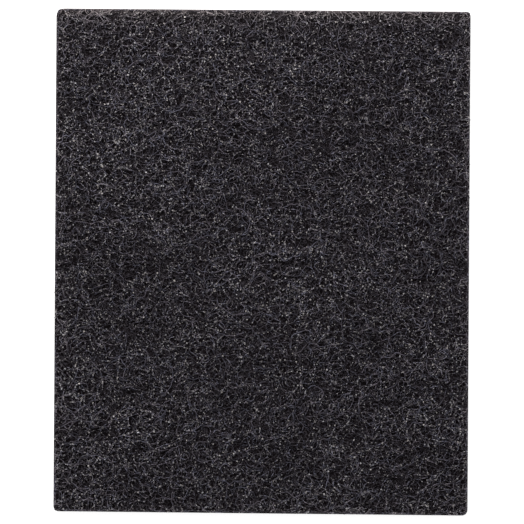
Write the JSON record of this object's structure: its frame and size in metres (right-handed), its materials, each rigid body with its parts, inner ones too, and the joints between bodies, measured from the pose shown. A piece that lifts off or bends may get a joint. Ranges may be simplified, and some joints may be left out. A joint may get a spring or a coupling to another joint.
{
  "type": "polishing felt pad",
  "caption": "Rectangular hand pad of open, resin-bonded charcoal fibre web for polishing and fine rubbing down; lies flat and works on both faces.",
  "frame": {"origin": "middle of the pad's back, on the surface it lies on", "axes": "+Y along the pad's length, +X across its width, +Z out of the face in the picture"},
  "size_m": [0.115, 0.1402, 0.006],
  "materials": {
    "felt": "open non-woven web of curled synthetic fibre, bonded with dark resin and fine grit, matte with small glints"
  },
  "bodies": {
    "root": {"felt_pad": "felt"}
  },
  "joints": []
}
